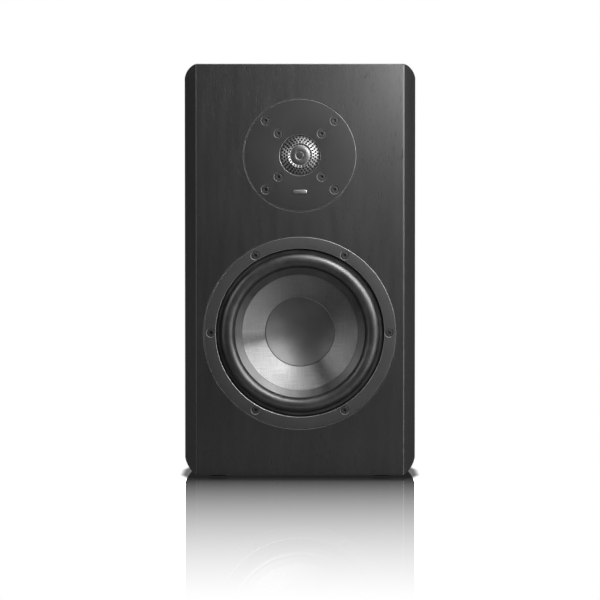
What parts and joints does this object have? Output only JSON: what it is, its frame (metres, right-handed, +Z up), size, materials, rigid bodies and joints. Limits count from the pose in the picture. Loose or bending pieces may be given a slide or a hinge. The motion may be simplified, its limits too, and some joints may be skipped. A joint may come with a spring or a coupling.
{
  "type": "bookshelf speaker",
  "caption": "Two-way bookshelf loudspeaker: flared and tapered cabinet, woven-cone woofer, dome tweeter behind a metal grille, rear port and binding posts.",
  "frame": {"origin": "on the floor, at the centre of the bounding box seen from above", "axes": "+Z up, -Y towards the listener (the baffle faces -Y), +X to the right when facing the baffle"},
  "size_m": [0.218, 0.3018, 0.38],
  "materials": {
    "veneer": "satin black-stained oak veneer with a fine upright grain",
    "board": "raw fibreboard",
    "black_metal": "fine matte black paint",
    "screw_black": "black oxide",
    "rubber": "smooth",
    "cone_fibre": "woven silver-grey glass fibre, resin coated",
    "cap_skin": "satin",
    "spider_cloth": "impregnated cloth",
    "copper": "enamelled copper winding",
    "steel": "zinc plated",
    "ferrite": "sintered ferrite, matte",
    "aluminium": "satin",
    "plastic": "fine texture",
    "gold": "gold plated",
    "red_plastic": "gloss",
    "circuit_board": "solder mask",
    "wadding": "polyester fleece",
    "wire": "insulated wire"
  },
  "bodies": {
    "cabinet": {"acoustic_wadding": "wadding", "badge": "aluminium", "binding_post_stud_negative": "gold", "binding_post_stud_positive": "gold", "bottom_panel": "veneer", "crossover_board": "circuit_board", "crossover_capacitor": "plastic", "crossover_inductor": "copper", "foot_1": "rubber", "foot_2": "rubber", "foot_3": "rubber", "foot_4": "rubber", "front_baffle": "veneer", "port_tube": "plastic", "rear_panel": "veneer", "side_panel_left": "veneer", "side_panel_right": "veneer", "terminal_plate": "plastic", "terminal_screw_1": "screw_black", "terminal_screw_2": "screw_black", "terminal_screw_3": "screw_black", "terminal_screw_4": "screw_black", "top_panel": "veneer", "tweeter_faceplate": "black_metal", "tweeter_front_plate": "steel", "tweeter_grille": "black_metal", "tweeter_lead": "wire", "tweeter_magnet": "ferrite", "tweeter_motor_screw_1": "screw_black", "tweeter_motor_screw_2": "screw_black", "tweeter_motor_screw_3": "screw_black", "tweeter_motor_screw_4": "screw_black", "tweeter_screw_1": "screw_black", "tweeter_screw_2": "screw_black", "tweeter_screw_3": "screw_black", "tweeter_screw_4": "screw_black", "tweeter_yoke": "steel", "window_brace": "board", "woofer_frame": "black_metal", "woofer_front_plate": "steel", "woofer_lead": "wire", "woofer_magnet": "ferrite", "woofer_screw_1": "screw_black", "woofer_screw_2": "screw_black", "woofer_screw_3": "screw_black", "woofer_screw_4": "screw_black", "woofer_screw_5": "screw_black", "woofer_screw_6": "screw_black", "woofer_spider": "spider_cloth", "woofer_surround": "rubber", "woofer_yoke": "steel"},
    "woofer_piston": {"woofer_cone": "cone_fibre", "woofer_dust_cap": "cap_skin", "woofer_voice_coil": "copper"},
    "tweeter_piston": {"tweeter_dome": "aluminium", "tweeter_voice_coil": "copper"},
    "clamp_negative": {"binding_post_clamp_negative": "plastic"},
    "cap_negative": {"binding_post_cap_negative": "gold"},
    "clamp_positive": {"binding_post_clamp_positive": "red_plastic"},
    "cap_positive": {"binding_post_cap_positive": "gold"}
  },
  "joints": [
    {"name": "woofer_travel", "type": "slide", "parent": "cabinet", "child": "woofer_piston", "axis": [0, -1, 0], "range_m": [-0.004, 0.004], "stiffness_N_per_m": 1100, "deforming": ["woofer_surround", "woofer_spider"]},
    {"name": "tweeter_travel", "type": "slide", "parent": "cabinet", "child": "tweeter_piston", "axis": [0, -1, 0], "range_m": [-0.0003, 0.0003], "stiffness_N_per_m": 1500},
    {"name": "clamp_slide_negative", "type": "slide", "parent": "cabinet", "child": "clamp_negative", "axis": [0, 1, 0], "range_m": [0, 0.005]},
    {"name": "cap_turn_negative", "type": "hinge", "parent": "clamp_negative", "child": "cap_negative", "pos_m": [-0.015, 0.13095, 0.088], "axis": [0, 1, 0], "range_deg": [0, 1801]},
    {"name": "clamp_slide_positive", "type": "slide", "parent": "cabinet", "child": "clamp_positive", "axis": [0, 1, 0], "range_m": [0, 0.005]},
    {"name": "cap_turn_positive", "type": "hinge", "parent": "clamp_positive", "child": "cap_positive", "pos_m": [0.015, 0.13095, 0.088], "axis": [0, 1, 0], "range_deg": [0, 1801]}
  ],
  "couplings": [
    {"joint": "cap_turn_negative", "follows": "clamp_slide_negative", "rad_per_m": 6283.2},
    {"joint": "cap_turn_positive", "follows": "clamp_slide_positive", "rad_per_m": 6283.2}
  ]
}
